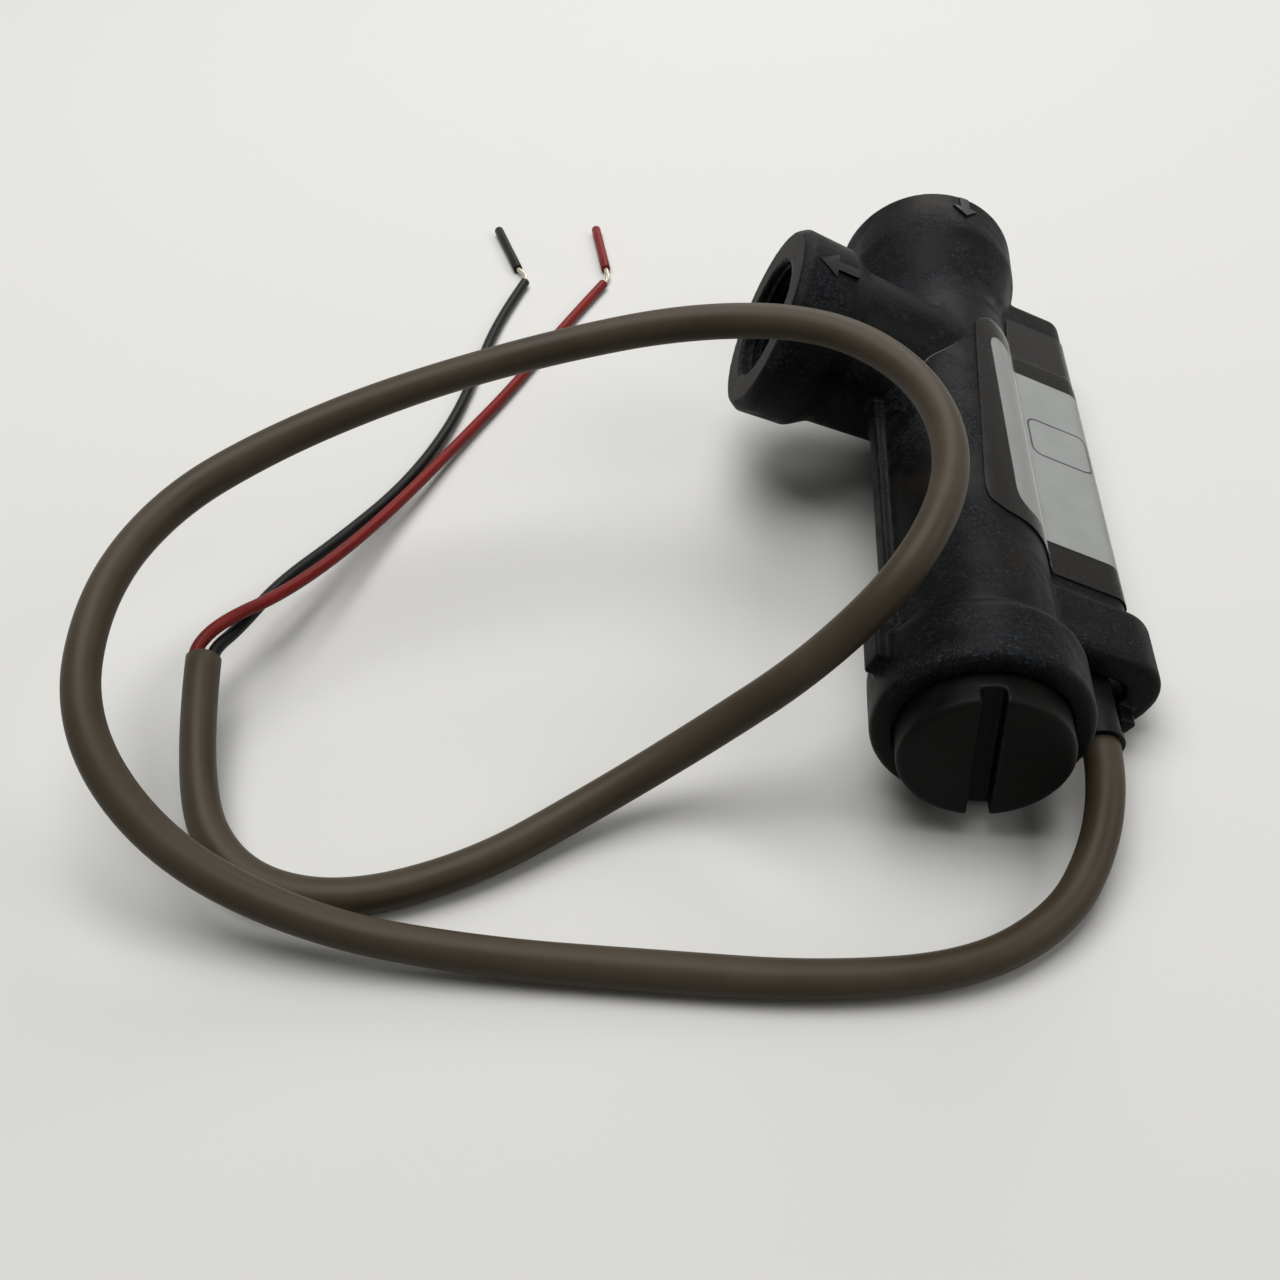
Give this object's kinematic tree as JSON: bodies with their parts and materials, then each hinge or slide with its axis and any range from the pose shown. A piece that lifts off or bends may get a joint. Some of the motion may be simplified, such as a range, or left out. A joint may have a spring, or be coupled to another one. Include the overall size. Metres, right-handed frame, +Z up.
{
  "type": "flow switch",
  "caption": "Right-angle plastic flow switch: a spring-loaded magnetic shuttle in a straight tube, a potted reed switch in the side housing, a coin-slot service plug and a free stripped cable.",
  "frame": {"origin": "on the surface it lies on, under the centre of the rigid pieces' bounding box", "axes": "+Y along the flow tube from the service plug to the inlet, +X towards the switch housing, +Z up"},
  "size_m": [0.1843, 0.2332, 0.0544],
  "materials": {
    "body_plastic": "moulded, glass-filled, grainy",
    "cap_plastic": "moulded, fine satin",
    "seal_rubber": "smooth",
    "shuttle_plastic": "machined acetal, natural",
    "ferrite": "sintered",
    "spring_steel": "drawn wire",
    "reed_glass": "clear, faint green",
    "reed_metal": "plated",
    "crimp_brass": "tinned",
    "black_insulation": "extruded",
    "red_insulation": "extruded",
    "sleeve_rubber": "satin",
    "cable_pvc": "extruded PVC, semi-gloss",
    "epoxy": "cast",
    "label_paper": "printed stock, bare",
    "clear_film": "clear, glossy",
    "tinned_copper": "stranded, tinned"
  },
  "bodies": {
    "valve": {"valve_body": "body_plastic", "reed_glass": "reed_glass", "fixed_reed": "reed_metal", "moving_reed_lead": "reed_metal", "wire_crimps": "crimp_brass", "black_inner_lead": "black_insulation", "red_inner_lead": "red_insulation", "strain_sleeve": "sleeve_rubber", "cable_potted_end": "cable_pvc", "potting": "epoxy", "label": "label_paper", "label_film": "clear_film", "return_spring": "spring_steel", "cable_jacket": "cable_pvc", "black_core": "black_insulation", "red_core": "red_insulation", "black_strands": "tinned_copper", "red_strands": "tinned_copper", "black_tip_slug": "black_insulation", "red_tip_slug": "red_insulation"},
    "shuttle": {"shuttle": "shuttle_plastic", "shuttle_magnet": "ferrite", "magnet_retainer": "shuttle_plastic"},
    "o_ring": {"plug_o_ring": "seal_rubber"},
    "plug": {"service_plug": "cap_plastic"},
    "reed_blade": {"moving_reed": "reed_metal"}
  },
  "joints": [
    {"name": "shuttle_slide", "type": "slide", "parent": "valve", "child": "shuttle", "axis": [0, -1, 0], "range_m": [0, 0.014], "stiffness_N_per_m": 60, "springref_m": -0.008, "deforming": ["return_spring"]},
    {"name": "o_ring_slide", "type": "slide", "parent": "valve", "child": "o_ring", "axis": [0, -1, 0], "range_m": [0, 0.00725]},
    {"name": "plug_turn", "type": "hinge", "parent": "o_ring", "child": "plug", "pos_m": [0.00502, -0.0698, 0.01979], "axis": [0, -1, 0], "range_deg": [0, 1440]},
    {"name": "reed_blade_bend", "type": "hinge", "parent": "valve", "child": "reed_blade", "pos_m": [0.02575, -0.01675, 0.01134], "axis": [-0.3774, 0, -0.9261], "range_deg": [0, 2.4], "stiffness_Nm_per_rad": 0.00002, "springref_deg": -11.46}
  ],
  "couplings": [
    {"joint": "plug_turn", "follows": "o_ring_slide", "rad_per_m": 3463.7}
  ]
}
